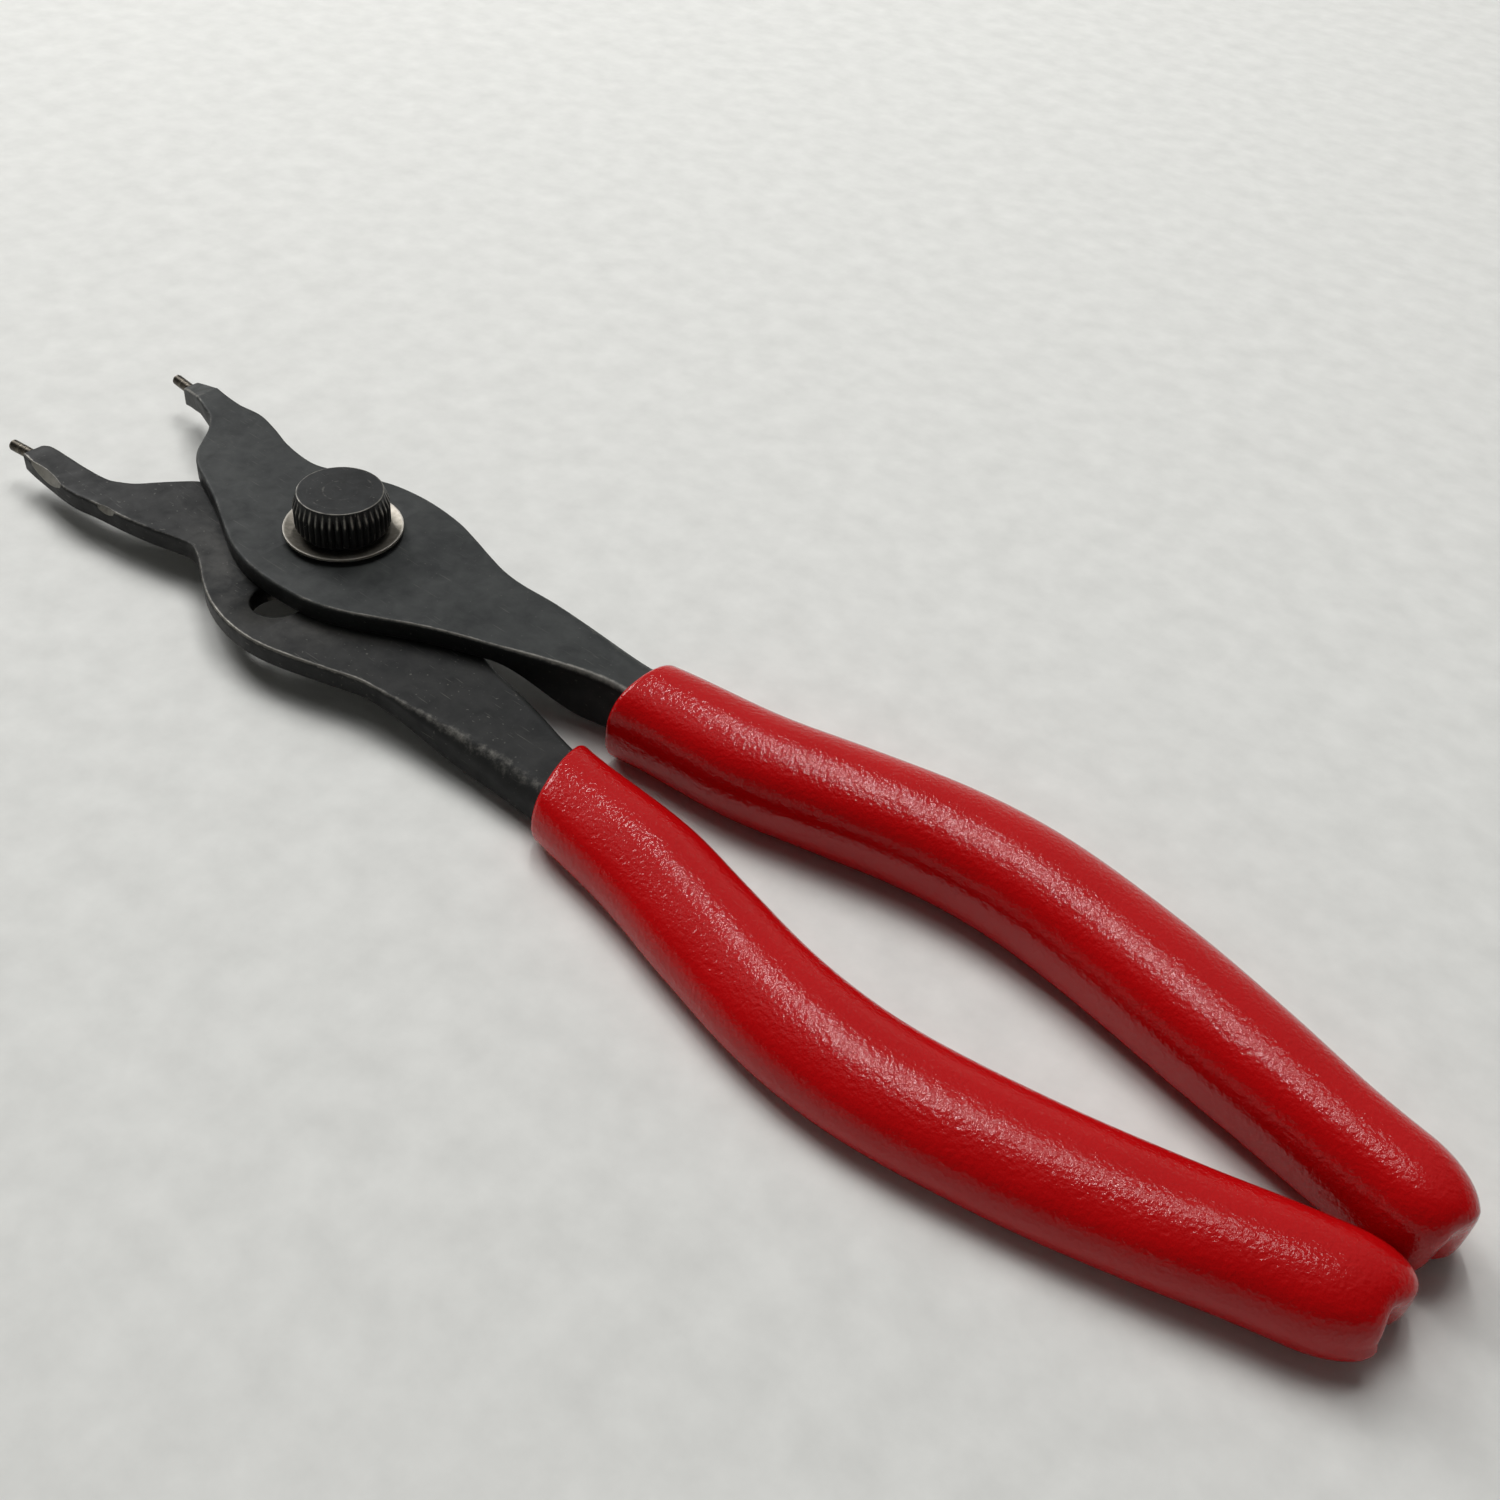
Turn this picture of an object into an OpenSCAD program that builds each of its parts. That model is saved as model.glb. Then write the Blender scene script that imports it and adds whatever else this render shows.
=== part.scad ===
// Convertible circlip pliers: two flat stamped arms on one thumb-nut pivot.
// +X runs from the pivot to the handles, +Y to the side of the upper arm, +Z up from the table.
// The pivot axis is the Z axis and the stud's back face lies on the table plane.

/* [Plates] */
// thickness of both arm plates
plate_t = 3; // [2:0.1:5]
// free play between the two plates
plate_gap = 0.06; // [0.02:0.01:0.3]
// height of the lower plate's underside above the table
lower_z = 4; // [3:0.1:8]
// slope of the scallops ground into the outer corner of the lower jaw, away from the upright
bevel_deg = 24; // [10:1:45]
// depth of the front scallop
bevel_d = 0.65; // [0.3:0.05:0.9]
// length of the front scallop along the jaw
bevel_long = 9.7; // [5:0.1:12]
// middle of the front scallop along X
bevel_x = -45.5; // [-47:0.1:-44]
// depth of the small scallop behind it
nick_d = 0.4; // [0.2:0.05:0.6]
// length of the small scallop along the jaw
nick_long = 4.7; // [3:0.1:7]
// middle of the small scallop along X
nick_x = -31.8; // [-34:0.1:-30]

/* [Pivot] */
// radius of the round journal that the lower arm turns on
journal_r = 3.8; // [3.5:0.05:5]
// radial clearance of that journal in its hole
journal_clear = 0.05; // [0.01:0.01:0.1]
// offset of the second hole of the lower arm along X
hole_dx = 2.8; // [0:0.1:6]
// offset of the second hole of the lower arm along Y
hole_dy = -14.6; // [-16:0.1:-12]
// radius of the flatted neck in the upper arm
neck_r = 3.1; // [2.7:0.05:3.4]
// distance by which the neck's flats clear the thread
neck_land = 0.1; // [0.05:0.05:0.3]
// clearance of the neck in its hole on each side
neck_clear = 0.05; // [0.01:0.01:0.1]
// radius of the threaded end
thread_r = 2.5; // [1.5:0.1:2.8]
// radial clearance of the threaded end in the thumb nut
thread_clear = 0.05; // [0.01:0.01:0.1]
// radius of the stud's back head
head_r = 6.2; // [5:0.1:9]
// clearance between the back head and the lower plate
head_clear = 0.06; // [0.02:0.01:0.3]

/* [Washer] */
// width of the washer's raised brim
washer_brim = 2.6; // [1.5:0.05:5]
// sheet thickness of the washer
washer_t = 0.5; // [0.3:0.1:1.5]
// flat of the washer left round the thumb nut
washer_flat = 0.25; // [0.1:0.05:1]
// rise of the washer's rim over its middle
washer_rise = 0.7; // [0.2:0.1:1.5]
// radial clearance of the washer on the threaded end
washer_clear = 0.3; // [0.1:0.05:0.8]

/* [Thumb nut] */
// radius of the thumb nut at its fluted belt
knob_r = 6.8; // [5:0.05:9]
// height of the thumb nut
knob_h = 6.5; // [5:0.1:10]
// reduction of the radius from the belt to the top
knob_bevel = 0.7; // [0.3:0.05:1.5]
// height of the sloping shoulder over the belt
knob_brow = 1.9; // [0.8:0.1:2.5]
// plain edge left between the flutes and the top
knob_rim = 0.2; // [0.1:0.05:0.5]
// reduction of the radius from the belt to the foot
knob_taper = 1.1; // [0.5:0.05:1.5]
// height of the sloping foot under the belt
knob_foot = 1.4; // [0.5:0.1:2]
// number of flutes round the thumb nut
flute_count = 40; // [16:1:60]
// depth of one flute
flute_d = 0.36; // [0.1:0.02:0.6]
// half width of one flute's mouth as a part of the pitch
flute_open = 0.8; // [0.5:0.05:0.9]
// play between thumb nut and washer
knob_clear = 0.04; // [0.02:0.01:0.2]
// solid top left over the blind thread
knob_crown = 1.2; // [0.6:0.1:2]

/* [Tips] */
// radius of the hardened tip pins
pin_r = 0.89; // [0.4:0.01:1]
// length of pin standing out of the jaw
pin_out = 4.5; // [2:0.1:8]
// length of shank pressed into the jaw
pin_in = 2.8; // [2:0.1:3.2]
// step from the pin in to its pressed shank, so that a shoulder bears on the jaw
pin_step = 0.27; // [0.2:0.01:0.3]
// depth of both pins below the top of the lower jaw
pin_drop = 1.1; // [1:0.05:1.5]
// offset of each pin to the outer side of its jaw end
pin_off = 0.15; // [0:0.05:0.2]
// outward splay of each pin
pin_splay = 5; // [0:1:15]
// rounding of the pin's free end
pin_round = 0.25; // [0.1:0.05:0.5]
// crease of the upper jaw along X, where it bends down to the level of the lower jaw
crease_x = -44.2; // [-46:0.2:-36]

/* [Handles] */
// sheet thickness of the folded flanges
flange_t = 2.2; // [1.5:0.1:3]
// height of the flange edges above the table
flange_z = 1.8; // [1:0.1:3]
// width of the folded channel inside the grips
tang_w = 9.4; // [8:0.1:11]
// place along X where the folds reach their full bend radius
fold_end = 52; // [48:0.5:53]
// bend radius on the outer side of each handle
bend_out = 2.6; // [0.5:0.1:4]
// bend radius on the inner side of each handle
bend_in = 0.9; // [0.3:0.1:3]

/* [Grips] */
// width of the dipped grips
grip_w = 16.2; // [14:0.1:17]
// width of the grips at their front ends
grip_nose_w = 14.6; // [13:0.1:18]
// width of the upper grip at its rear end
grip_tail_u = 13.4; // [12:0.1:14]
// width of the lower grip at its rear end
grip_tail_l = 15.2; // [12:0.1:15.6]
// rise of the lower grip's top towards its rear end
tail_rise = 1; // [0:0.1:2]
// cover of the grips over the plates
grip_cover = 1.85; // [1:0.05:3]
// front end of the upper grip along X
grip_front_u = 53.2; // [53:0.2:60]
// front end of the lower grip along X
grip_front_l = 55; // [54:0.2:60]
// slant of the lower grip's front end, the inner side first
nose_slant = 16; // [0:1:20]
// rear end of the upper grip along X
grip_rear_u = 170.2; // [165:0.2:175]
// rear end of the lower grip along X
grip_rear_l = 168.2; // [165:0.2:175]
// corner radius along the top of the grips
grip_top_r = 4.2; // [2:0.1:5]
// corner radius along the underside of the grips
grip_bot_r = 3; // [1:0.1:4]
// rounding of the grips' front edges
grip_lip = 1.6; // [0.5:0.1:2]
// length of the rounded rear ends
tail_long = 8; // [4:0.2:9]
// rounding of the rear ends seen from above
tail_side = 5; // [2:0.2:6]
// rounding of the rear ends seen from the side
tail_top = 3; // [1:0.2:4]
// rise of the underside at the rounded rear end
tail_low = 1.2; // [0.5:0.1:3]
// solid vinyl behind the ends of the folded channels
grip_plug = 10; // [6:0.5:20]
// depth of the dent in the rear end of each grip, at the table
dent_d = 2.6; // [0.5:0.1:3]
// radius of that dent
dent_r = 2.6; // [1.5:0.1:4]
// offset of the dent from the middle of the upper grip's end
dent_off_u = -2.2; // [-3:0.1:3]
// offset of the dent from the middle of the lower grip's end
dent_off_l = -1.1; // [-3:0.1:3]
// vinyl left beside the hollow in the channel's mouth
hollow_side = 0.5; // [0.3:0.1:1.5]
// vinyl left between the hollow and the lower plate
hollow_roof = 1; // [0.5:0.1:2.5]

/* [Hidden] */
$fn = 96;
eps = 0.5;
dent_share = 0.8;
upper_z = lower_z + plate_t + plate_gap;
upper_top = upper_z + plate_t;
lower_top = lower_z + plate_t;
hole_r = journal_r + journal_clear;
neck_flat = 2 * (thread_r + neck_land);
shank_r = pin_r - pin_step;
pin_z = lower_top - pin_drop;
knob_base_r = knob_r - knob_taper;
washer_flat_r = knob_base_r + washer_flat;
washer_r = washer_flat_r + washer_brim;
hollow_w = tang_w / 2 - flange_t - hollow_side;
hollow_h = lower_z - hollow_roof;
knob_z = upper_top + washer_t + knob_clear;
stud_top = knob_z + knob_h - knob_crown - knob_clear;

// centre lines of the two grips, seen from above
path_u = [[58.9, 5.9], [71.3, 7.3], [83.6, 10.3], [95, 12.95], [104.5, 14.05], [114, 13.75],
          [128.3, 11.5], [144.4, 7.9], [156, 5], [172, 2]];
path_l = [[60.2, -13.3], [72.6, -14.7], [84.9, -17.7], [96.3, -20.4], [105.8, -21.5], [115.3, -21.2],
          [129.6, -18.9], [145.7, -15.3], [156, -12.6], [172, -8.8]];

// outer and inner edge of the upper arm from the jaw end to the grip
upper_out = [[-52.2, 13.5], [-49.1, 12.9], [-44.2, 11.8], [-38, 11.2], [-33.3, 11.6], [-28.5, 10.6],
             [-23.8, 9.2], [-19, 8.55], [-16, 8.75], [-12.4, 10.2], [-6.7, 12.6], [-2.9, 13.7],
             [2.9, 14.2], [9.5, 13.6], [14.3, 12.35], [19, 10.9], [22.8, 9.9], [26.6, 9.5],
             [33.3, 9.7], [42.8, 9.8], [52.3, 9.8]];
upper_in = [[-52.2, 10.5], [-49.4, 9.6], [-44.6, 7.8], [-41, 6.6], [-38, 5.4], [-35.2, 3], [-33.3, 0.5],
            [-31.4, -1.9], [-28.5, -4.1], [-24.7, -5.7], [-19, -8.1], [-14.3, -10.5], [-9.5, -12.8],
            [-4.8, -14.25], [0, -14.8], [4.8, -14.7], [9.5, -14.1], [14.3, -12.35], [19, -9.8],
            [23.8, -7.2], [28.5, -5.1], [33.3, -3.3], [38, -1.5], [42.8, 0.2], [47.5, 1.6], [52.3, 2.2]];

// outer and inner edge of the lower arm from the jaw end to the grip
lower_out = [[-52.6, -18.4], [-49.4, -18.8], [-45.6, -19.1], [-40.9, -19.4], [-38, -19.3], [-34.2, -18.6],
             [-28.5, -17.8], [-23.8, -16.9], [-19, -15.6], [-16.2, -15.1], [-14.3, -15.6], [-11.4, -17.1],
             [-7.6, -19.4], [-3.8, -21.2], [0, -22.3], [3.8, -22.8], [7.6, -22.7], [11.4, -22],
             [15.2, -20.9], [19, -19.7], [23.8, -18.2], [28.5, -17.7], [33.3, -17.5], [44, -17.3],
             [53.5, -17.4]];
lower_in = [[-52.6, -14.9], [-51.4, -14.1], [-47.5, -13.9], [-42.8, -13.8], [-38, -13.3], [-36.1, -12.35],
            [-34.2, -10.9], [-32.3, -8.4], [-30.4, -6], [-28.5, -4], [-24, -1.6], [-19, 0], [-12, 2.6],
            [-7.6, 5], [-3.8, 6.9], [0, 8], [4, 8.4], [8, 8], [12, 6.8], [16, 5], [20, 3], [25, 0.3],
            [30, -2.2], [35, -3.9], [40.9, -4.9], [45.6, -5.9], [53.5, -7.8]];

// places where the flat plates end and the folded handles begin
fold_u = 30;
fold_l = 24;
// stretches along X in which the flanges grow to their full height
grow_u = [33, 47];
grow_l = [25, 44];
// stretches along X in which the grips widen and narrow
swell = [54, 82];
narrow = [130, 162];
// length over which the slant of a front end fades out
slant_fade = 20;

// number of steps along the edges, folds, channels and grips, and round their corners
edge_steps = 64;
fold_steps = 20;
channel_steps = 24;
mouth_steps = 40;
grip_steps = 26;
hollow_steps = 28;
bend_steps = 5;
round_steps = 6;

// smooth curve y(x) through a list of points
function span(p, x, i = 0) = (i >= len(p) - 2 || x < p[i + 1][0]) ? i : span(p, x, i + 1);
function lean(p, i) =
    let(a = max(i - 1, 0), b = min(i + 1, len(p) - 1))
    (p[b][1] - p[a][1]) / (p[b][0] - p[a][0]);
function at(p, x) =
    let(i = span(p, x), h = p[i + 1][0] - p[i][0], u = (x - p[i][0]) / h)
    (2 * u + 1) * pow(1 - u, 2) * p[i][1] + u * pow(1 - u, 2) * h * lean(p, i)
    + u * u * (3 - 2 * u) * p[i + 1][1] + u * u * (u - 1) * h * lean(p, i + 1);
function shifted(p, d) = [for (q = p) [q[0], q[1] + d]];
function ease(a, b, x) = let(u = min(max((x - a) / (b - a), 0), 1)) u * u * (3 - 2 * u);
function steps(a, b, n) = [for (i = [0:n]) a + (b - a) * i / n];

// full edges of the arms, run on inside the grips
edge_uo = concat(upper_out, shifted(path_u, tang_w / 2));
edge_ui = concat(upper_in, shifted(path_u, -tang_w / 2));
edge_lo = concat(lower_out, shifted(path_l, -tang_w / 2));
edge_li = concat(lower_in, shifted(path_l, tang_w / 2));

// solid through a row of sections that have the same number of points
module loft(rows) {
    n = len(rows[0]);
    m = len(rows);
    points = [for (r = rows) each r];
    sides = [for (i = [0:m - 2], j = [0:n - 1])
        let(a = i * n + j, b = i * n + (j + 1) % n)
        each [[a, a + n, b + n], [a, b + n, b]]];
    ends = [[for (j = [0:n - 1]) j], [for (j = [n - 1:-1:0]) (m - 1) * n + j]];
    polyhedron(points, concat(sides, ends), convexity = 8);
}

// round corner from angle a to b
function corner(y, z, r, a, b, n) = [for (t = steps(a, b, n)) [y + r * cos(t), z + r * sin(t)]];

// section of a folded handle between its two edges
function tang_section(x, y0, y1, z0, z1, r0, r1) =
    [for (p = concat([[y0, z0], [y1, z0]],
                     corner(y1 - r1, z1 - r1, r1, 0, 90, bend_steps),
                     corner(y0 + r0, z1 - r0, r0, 90, 180, bend_steps))) [x, p[0], p[1]]];

// folded handle: a channel that is open underneath
module tang(lo, hi, x0, x1, plate_z, grow, r_lo, r_hi) {
    sharp = 0.1;
    cut = steps(grow[0], x1 + eps, mouth_steps);
    mouth = [for (i = [0:mouth_steps]) cut[mouth_steps - i]];
    difference() {
        loft([for (x = concat(steps(x0, grip_front_l, fold_steps),
                              [for (i = [1:channel_steps])
                                  grip_front_l + (x1 - grip_front_l) * i / channel_steps]))
            tang_section(x, at(lo, x), at(hi, x),
                         plate_z - (plate_z - flange_z) * ease(grow[0], grow[1], x), plate_z + plate_t,
                         sharp + (r_lo - sharp) * ease(x0, fold_end, x),
                         sharp + (r_hi - sharp) * ease(x0, fold_end, x))]);
        translate([0, 0, flange_z - eps])
            linear_extrude(plate_z - flange_z + eps)
                polygon(concat([for (x = cut) [x, at(lo, x) + flange_t]],
                               [for (x = mouth) [x, at(hi, x) - flange_t]]));
    }
}

module upper_tang() {
    tang(edge_ui, edge_uo, fold_u, grip_rear_u - grip_plug, upper_z, grow_u, bend_in, bend_out);
}

module lower_tang() {
    tang(edge_lo, edge_li, fold_l, grip_rear_l - grip_plug, lower_z, grow_l, bend_out, bend_in);
}

// flat plate between two edges
module plate(out, in, x0, x1, z, h) {
    translate([0, 0, z])
        linear_extrude(h)
            polygon(concat([for (x = steps(x0, x1, edge_steps)) [x, at(out, x)]],
                           [for (x = steps(x1, x0, edge_steps)) [x, at(in, x)]]));
}

// tip pin, drawn from its bottom in the jaw along its own axis
module pin_shape() {
    long = pin_in + pin_out;
    rotate_extrude()
        polygon([[0, 0], [shank_r, 0], [shank_r, pin_in], [pin_r, pin_in],
                 [pin_r, long - pin_round], [pin_r - pin_round, long], [0, long]]);
}

// bore for the shank of a pin, open at the jaw end
module pin_bore() {
    cylinder(h = pin_in + eps, r = shank_r);
}

// place of a pin: jaw end, height and splay to the side s, its shoulder just clear of the jaw
module at_pin(x, y, s) {
    translate([x - pin_r * sin(pin_splay), y, pin_z])
        rotate([0, 0, -s * pin_splay])
            rotate([0, -90, 0])
                translate([0, 0, -pin_in])
                    children();
}

module at_upper_pin() {
    at_pin(upper_out[0][0], (upper_out[0][1] + upper_in[0][1]) / 2 + pin_off, 1) children();
}

module at_lower_pin() {
    at_pin(lower_out[0][0], (lower_out[0][1] + lower_in[0][1]) / 2 - pin_off, -1) children();
}

// scallop ground into the outer top corner of the lower jaw by a wheel
module scallop(x, deep, long) {
    wheel_r = long * long / (8 * deep);
    translate([x, at(edge_lo, x), lower_top])
        rotate([-bevel_deg, 0, 0])
            translate([0, deep - wheel_r, 0])
                cylinder(h = 4 * plate_t, r = wheel_r, center = true);
}

// flatted round of the stud's neck
module neck_shape(h, grow) {
    intersection() {
        cylinder(h = h, r = neck_r + grow);
        translate([-neck_flat / 2 - grow, -neck_r - 1, 0])
            cube([neck_flat + 2 * grow, 2 * neck_r + 2, h]);
    }
}

module upper_arm() {
    jaw_x = upper_out[0][0];
    tip_x = jaw_x - eps;
    half_span = max([for (p = upper_out) p[1]]) - min([for (p = upper_in) p[1]]);
    drop = (upper_top - lower_top) / (crease_x - jaw_x);
    crease_low = crease_x + plate_t * tan(atan(drop) / 2);
    color("#3b3d3f") difference() {
        union() {
            intersection() {
                plate(edge_uo, edge_ui, jaw_x, fold_u, 0, upper_top + eps);
                translate([0, half_span, 0])
                    rotate([90, 0, 0])
                        linear_extrude(2 * half_span)
                            polygon([[fold_u, upper_top], [crease_x, upper_top],
                                     [tip_x, upper_top + drop * (tip_x - crease_x)],
                                     [tip_x, upper_z + drop * (tip_x - crease_low)],
                                     [crease_low, upper_z], [fold_u, upper_z]]);
            }
            upper_tang();
        }
        translate([0, 0, upper_z - eps])
            neck_shape(plate_t + 2 * eps, neck_clear);
        at_upper_pin() pin_bore();
    }
}

module lower_arm() {
    color("#3b3d3f") difference() {
        union() {
            plate(edge_lo, edge_li, lower_out[0][0], fold_l, lower_z, plate_t);
            lower_tang();
        }
        for (p = [[0, 0], [hole_dx, hole_dy]])
            translate([p[0], p[1], lower_z - eps])
                cylinder(h = plate_t + 2 * eps, r = hole_r);
        at_lower_pin() pin_bore();
        scallop(bevel_x, bevel_d, bevel_long);
        scallop(nick_x, nick_d, nick_long);
    }
}

// section of a grip, drawn in at its sides, at its top and at its bottom, and slanted in plan
function grip_section(x, y, half, z1, side, top, low, slope) =
    let(a = half - side, b = z1 - top, least = 0.4,
        most = min((b - low) / 2, a) - 0.1,
        rt = min(max(grip_top_r - top, least), most),
        rb = min(max(grip_bot_r - low, least), most))
    [for (p = concat(corner(a - rb, low + rb, rb, 270, 360, bend_steps),
                     corner(a - rt, b - rt, rt, 0, 90, round_steps),
                     corner(rt - a, b - rt, rt, 90, 180, round_steps),
                     corner(rb - a, low + rb, rb, 180, 270, bend_steps)))
        [x - slope * p[0], y + p[0], p[1]]];

function grip_half(x, tail_w) =
    (grip_w - (grip_w - grip_nose_w) * (1 - ease(swell[0], swell[1], x))
     - (grip_w - tail_w) * ease(narrow[0], narrow[1], x)) / 2;

// dipped grip along its centre line: rounded front edge, body, rounded rear end
module grip(path, x0, x1, z1, slant, tail_w, rise) {
    body = steps(x0 + grip_lip, x1 - tail_long, grip_steps);
    front = [for (t = [0:22.5:67.5]) let(lip = grip_lip * (1 - sin(t)))
        [x0 + grip_lip * (1 - cos(t)), lip, lip, lip]];
    tail = [for (t = [15:15:75])
        [x1 - tail_long * (1 - sin(t)), tail_side * (1 - cos(t)), tail_top * (1 - cos(t)),
         tail_low * (1 - cos(t))]];
    loft([for (r = concat(front, [for (x = body) [x, 0, 0, 0]], tail))
        grip_section(r[0], at(path, r[0]), grip_half(r[0], tail_w),
                     z1 + rise * ease(narrow[0], narrow[1], r[0]), r[1], r[2], r[3],
                     tan(slant) * (1 - ease(x0, x0 + slant_fade, r[0])))]);
}

// hollow that the open channel leaves along the underside of a grip
module hollow(path, x0, x1) {
    arch = concat([[hollow_w, -eps]],
                  [for (t = [0:22.5:180]) [hollow_w * cos(t), hollow_h * sin(t)]],
                  [[-hollow_w, -eps]]);
    loft([for (x = steps(x0 - 2 * grip_lip, x1 + eps, hollow_steps))
        [for (p = arch) [x, at(path, x) + p[0], p[1]]]]);
}

// dent that runs up the rear end of a grip and fades out below its top
module rear_dent(path, x1, z1, off) {
    lean = atan(dent_d / (dent_share * z1));
    translate([x1 - dent_d + dent_r, at(path, x1) + off, 0])
        rotate([0, lean, 0])
            translate([0, 0, -dent_r])
                cylinder(h = z1 + 2 * dent_r, r = dent_r);
}

module upper_grip() {
    color("#b3202a") difference() {
        grip(path_u, grip_front_u, grip_rear_u, upper_top + grip_cover, 0, grip_tail_u, 0);
        hollow(path_u, grip_front_u, grip_rear_u);
        rear_dent(path_u, grip_rear_u, upper_top, dent_off_u);
        upper_tang();
    }
}

module lower_grip() {
    color("#b3202a") difference() {
        grip(path_l, grip_front_l, grip_rear_l, lower_top + grip_cover, nose_slant, grip_tail_l, tail_rise);
        hollow(path_l, grip_front_l, grip_rear_l);
        rear_dent(path_l, grip_rear_l, lower_top, dent_off_l);
        lower_tang();
    }
}

module upper_tip_pin() {
    color("#8d8579") at_upper_pin() pin_shape();
}

module lower_tip_pin() {
    color("#8d8579") at_lower_pin() pin_shape();
}

module pivot_stud() {
    neck_top = upper_top - plate_gap;
    color("#4a4a4c") union() {
        cylinder(h = lower_z - head_clear, r = head_r);
        cylinder(h = lower_top - plate_gap, r = journal_r);
        neck_shape(neck_top, 0);
        translate([0, 0, neck_top])
            cylinder(h = stud_top - neck_top, r = thread_r);
    }
}

module dished_washer() {
    bore = thread_r + washer_clear;
    color("#6f6a63") translate([0, 0, upper_top])
        rotate_extrude()
            polygon([[bore, 0], [washer_flat_r, 0], [washer_r, washer_rise],
                     [washer_r, washer_rise + washer_t], [washer_flat_r, washer_t], [bore, washer_t]]);
}

module thumb_nut() {
    belt_top = knob_h - knob_brow;
    rim_r = knob_r - knob_bevel * (knob_brow - knob_rim) / knob_brow;
    fade = atan((knob_r - flute_d - rim_r) / (knob_brow - knob_rim));
    pitch = 2 * PI * knob_r / flute_count;
    flute = [[-flute_d, 0], [flute_d, -flute_open * pitch], [flute_d, flute_open * pitch]];
    color("#333436") translate([0, 0, knob_z]) difference() {
        rotate_extrude()
            polygon([[0, 0], [knob_base_r, 0], [knob_r, knob_foot], [knob_r, belt_top],
                     [knob_r - knob_bevel, knob_h], [0, knob_h]]);
        translate([0, 0, -eps])
            cylinder(h = knob_h - knob_crown + eps, r = thread_r + thread_clear);
        for (i = [0:flute_count - 1])
            rotate([0, 0, i * 360 / flute_count])
                translate([knob_r, 0, 0]) {
                    translate([0, 0, -eps])
                        linear_extrude(belt_top + eps) polygon(flute);
                    translate([0, 0, belt_top])
                        rotate([0, -fade, 0])
                            linear_extrude(2 * knob_brow) polygon(flute);
                }
    }
}

upper_arm();
lower_arm();
upper_grip();
lower_grip();
upper_tip_pin();
lower_tip_pin();
pivot_stud();
dished_washer();
thumb_nut();
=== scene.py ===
# %% [markdown]
# # Convertible circlip pliers
# Two stamped steel arms turn on one stud, a fluted thumb nut clamps them through a dished washer,
# and both handles are dipped in red vinyl. The construction model gives the places and main sizes.
# This lesson dresses it: each steel part gets broken edges and wear, each grip a true rounded form.

# %% Load the construction model
import math
import bmesh
import bpy
from mathutils import Matrix, Vector


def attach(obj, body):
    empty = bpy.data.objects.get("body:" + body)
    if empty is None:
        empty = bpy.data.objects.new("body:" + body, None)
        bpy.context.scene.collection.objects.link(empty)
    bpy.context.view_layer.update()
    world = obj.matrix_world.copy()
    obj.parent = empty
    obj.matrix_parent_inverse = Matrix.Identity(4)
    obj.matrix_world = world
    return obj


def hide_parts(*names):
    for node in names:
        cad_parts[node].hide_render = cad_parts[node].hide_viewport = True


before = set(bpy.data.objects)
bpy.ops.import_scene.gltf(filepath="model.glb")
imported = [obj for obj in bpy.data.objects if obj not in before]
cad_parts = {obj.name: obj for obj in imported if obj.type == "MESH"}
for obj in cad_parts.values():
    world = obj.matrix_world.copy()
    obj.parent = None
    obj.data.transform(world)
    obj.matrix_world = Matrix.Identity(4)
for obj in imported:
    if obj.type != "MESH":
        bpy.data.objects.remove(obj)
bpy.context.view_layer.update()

MM = 0.001

# %% [markdown]
# ## Helpers for shapes
# The arms and grips follow smooth outlines that are known at a few points along X. A cubic through
# those points gives the outline at any X, exactly as the construction model draws it. A loft then
# joins a row of closed sections into one skin. A loft was chosen over sculpting or subdivision,
# because every section can carry its own edge radius and its own mark for wear.


# %% Outlines and arcs
def curve_at(points, x):
    """Height of a smooth curve through points, at x."""
    i = 0
    while i < len(points) - 2 and x >= points[i + 1][0]:
        i += 1

    def lean(k):
        a, b = max(k - 1, 0), min(k + 1, len(points) - 1)
        return (points[b][1] - points[a][1]) / (points[b][0] - points[a][0])

    h = points[i + 1][0] - points[i][0]
    u = (x - points[i][0]) / h
    return ((2 * u + 1) * (1 - u) ** 2 * points[i][1] + u * (1 - u) ** 2 * h * lean(i)
            + u * u * (3 - 2 * u) * points[i + 1][1] + u * u * (u - 1) * h * lean(i + 1))


def ease(a, b, x):
    """Smooth step from 0 at a to 1 at b."""
    u = min(max((x - a) / (b - a), 0), 1)
    return u * u * (3 - 2 * u)


def arc(y, z, r, a, b, steps):
    """Points of a round corner, from angle a to b in degrees."""
    turns = [math.radians(a + (b - a) * i / steps) for i in range(steps + 1)]
    return [(y + r * math.cos(t), z + r * math.sin(t)) for t in turns]


def spread(a, b, step):
    """Evenly spaced values from a to b, about a step apart."""
    n = max(1, round(abs(b - a) / step))
    return [a + (b - a) * i / n for i in range(n + 1)]


# %% Lofts and dressing
SAME_POINT = 2e-7  # metres


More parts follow.
